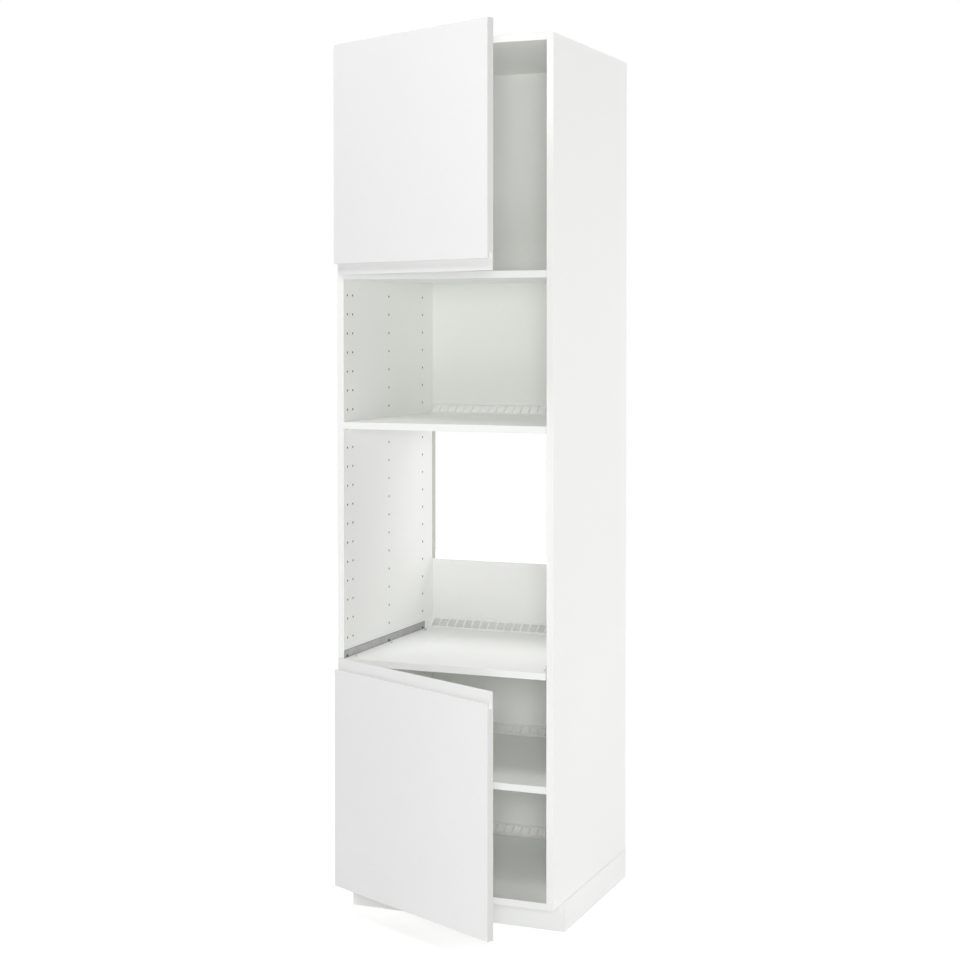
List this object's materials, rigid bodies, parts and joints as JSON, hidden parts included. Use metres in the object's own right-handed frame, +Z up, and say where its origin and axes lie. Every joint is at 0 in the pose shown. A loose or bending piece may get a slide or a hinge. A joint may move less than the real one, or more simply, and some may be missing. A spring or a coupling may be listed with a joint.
{
  "type": "kitchen cabinet",
  "caption": "Tall white kitchen cabinet with open niches for an oven and a microwave between an upper and a lower door on cup hinges.",
  "frame": {"origin": "on the floor, under the middle of the carcass", "axes": "+Z up, +Y to the back of the cabinet, +X to the right as seen from the front"},
  "size_m": [0.601, 0.8795, 2.28],
  "materials": {
    "door_front": "smooth white foil, matt",
    "carcass_board": "white foil with a fine texture",
    "back_board": "white foil on thin board",
    "plinth_board": "smooth white foil",
    "vent_plastic": "moulded white plastic",
    "galvanised_steel": "galvanised, satin",
    "nickel_steel": "nickel plated, satin",
    "zinc_hardware": "zinc plated",
    "bracket_steel": "zinc coated",
    "peg_steel": "nickel plated",
    "leg_plastic": "moulded black plastic",
    "clear_soft_plastic": "soft translucent dots",
    "dowel_wood": "plain beech"
  },
  "bodies": {
    "carcass": {"bottom_grille": "vent_plastic", "bottom_panel": "carcass_board", "cam_discs": "zinc_hardware", "front_plinth": "plinth_board", "hinge_arm_pins": "zinc_hardware", "hinge_plate_screws": "zinc_hardware", "hinge_plates": "nickel_steel", "left_oven_rail": "galvanised_steel", "left_plinth": "plinth_board", "left_side_panel": "carcass_board", "leg_sockets": "leg_plastic", "lower_back_panel": "back_board", "lower_door_bottom_hinge_arm": "nickel_steel", "lower_door_top_hinge_arm": "nickel_steel", "lower_shelf": "carcass_board", "lower_shelf_grille": "vent_plastic", "lower_shelf_pegs": "peg_steel", "microwave_shelf": "carcass_board", "microwave_shelf_grille": "vent_plastic", "microwave_shelf_pegs": "peg_steel", "oven_shelf": "carcass_board", "oven_shelf_grille": "vent_plastic", "panel_dowels": "dowel_wood", "plinth_clips": "leg_plastic", "rail_screws": "zinc_hardware", "right_oven_rail": "galvanised_steel", "right_plinth": "plinth_board", "right_side_panel": "carcass_board", "shelf_screws": "zinc_hardware", "top_panel": "carcass_board", "upper_back_panel": "back_board", "upper_door_bottom_hinge_arm": "nickel_steel", "upper_door_top_hinge_arm": "nickel_steel", "upper_shelf": "carcass_board", "wall_bracket_screws": "zinc_hardware", "wall_brackets": "bracket_steel"},
    "lower_outer_links": {"lower_door_bottom_outer_link": "nickel_steel", "lower_door_top_outer_link": "nickel_steel"},
    "lower_inner_links": {"lower_door_bottom_inner_link": "nickel_steel", "lower_door_top_inner_link": "nickel_steel"},
    "lower_door": {"lower_door": "door_front", "lower_door_bottom_hinge_cup": "nickel_steel", "lower_door_bumpers": "clear_soft_plastic", "lower_door_cup_screws": "zinc_hardware", "lower_door_hinge_pins": "zinc_hardware", "lower_door_top_hinge_cup": "nickel_steel"},
    "upper_outer_links": {"upper_door_bottom_outer_link": "nickel_steel", "upper_door_top_outer_link": "nickel_steel"},
    "upper_inner_links": {"upper_door_bottom_inner_link": "nickel_steel", "upper_door_top_inner_link": "nickel_steel"},
    "upper_door": {"upper_door": "door_front", "upper_door_bottom_hinge_cup": "nickel_steel", "upper_door_bumpers": "clear_soft_plastic", "upper_door_cup_screws": "zinc_hardware", "upper_door_hinge_pins": "zinc_hardware", "upper_door_top_hinge_cup": "nickel_steel"},
    "front_left_foot": {"front_left_foot": "leg_plastic"},
    "front_right_foot": {"front_right_foot": "leg_plastic"},
    "rear_left_foot": {"rear_left_foot": "leg_plastic"},
    "rear_right_foot": {"rear_right_foot": "leg_plastic"}
  },
  "joints": [
    {"name": "lower_outer_link_turn", "type": "hinge", "parent": "carcass", "child": "lower_outer_links", "pos_m": [-0.258, -0.2684, 0], "axis": [0, 0, -1], "range_deg": [-16.76, 6.44]},
    {"name": "lower_door_swing", "type": "hinge", "parent": "lower_outer_links", "child": "lower_door", "pos_m": [-0.28513, -0.30626, 0], "axis": [0, 0, -1], "range_deg": [-32.24, 85.56]},
    {"name": "lower_inner_link_turn", "type": "hinge", "parent": "carcass", "child": "lower_inner_links", "pos_m": [-0.2585, -0.298, 0], "axis": [0, 0, -1], "range_deg": [-19.52, 7.48]},
    {"name": "upper_outer_link_turn", "type": "hinge", "parent": "carcass", "child": "upper_outer_links", "pos_m": [-0.258, -0.2684, 0], "axis": [0, 0, -1], "range_deg": [-16.76, 6.44]},
    {"name": "upper_door_swing", "type": "hinge", "parent": "upper_outer_links", "child": "upper_door", "pos_m": [-0.28513, -0.30626, 0], "axis": [0, 0, -1], "range_deg": [-32.24, 85.56]},
    {"name": "upper_inner_link_turn", "type": "hinge", "parent": "carcass", "child": "upper_inner_links", "pos_m": [-0.2585, -0.298, 0], "axis": [0, 0, -1], "range_deg": [-19.52, 7.48]},
    {"name": "front_left_foot_level", "type": "slide", "parent": "carcass", "child": "front_left_foot", "axis": [0, 0, 1], "range_m": [-0.01, 0.01]},
    {"name": "front_right_foot_level", "type": "slide", "parent": "carcass", "child": "front_right_foot", "axis": [0, 0, 1], "range_m": [-0.01, 0.01]},
    {"name": "rear_left_foot_level", "type": "slide", "parent": "carcass", "child": "rear_left_foot", "axis": [0, 0, 1], "range_m": [-0.01, 0.01]},
    {"name": "rear_right_foot_level", "type": "slide", "parent": "carcass", "child": "rear_right_foot", "axis": [0, 0, 1], "range_m": [-0.01, 0.01]}
  ],
  "couplings": [
    {"joint": "lower_outer_link_turn", "follows": "lower_door_swing", "ratio": -0.19355},
    {"joint": "lower_inner_link_turn", "follows": "lower_door_swing", "ratio": -0.22581},
    {"joint": "upper_outer_link_turn", "follows": "upper_door_swing", "ratio": -0.19355},
    {"joint": "upper_inner_link_turn", "follows": "upper_door_swing", "ratio": -0.22581}
  ]
}
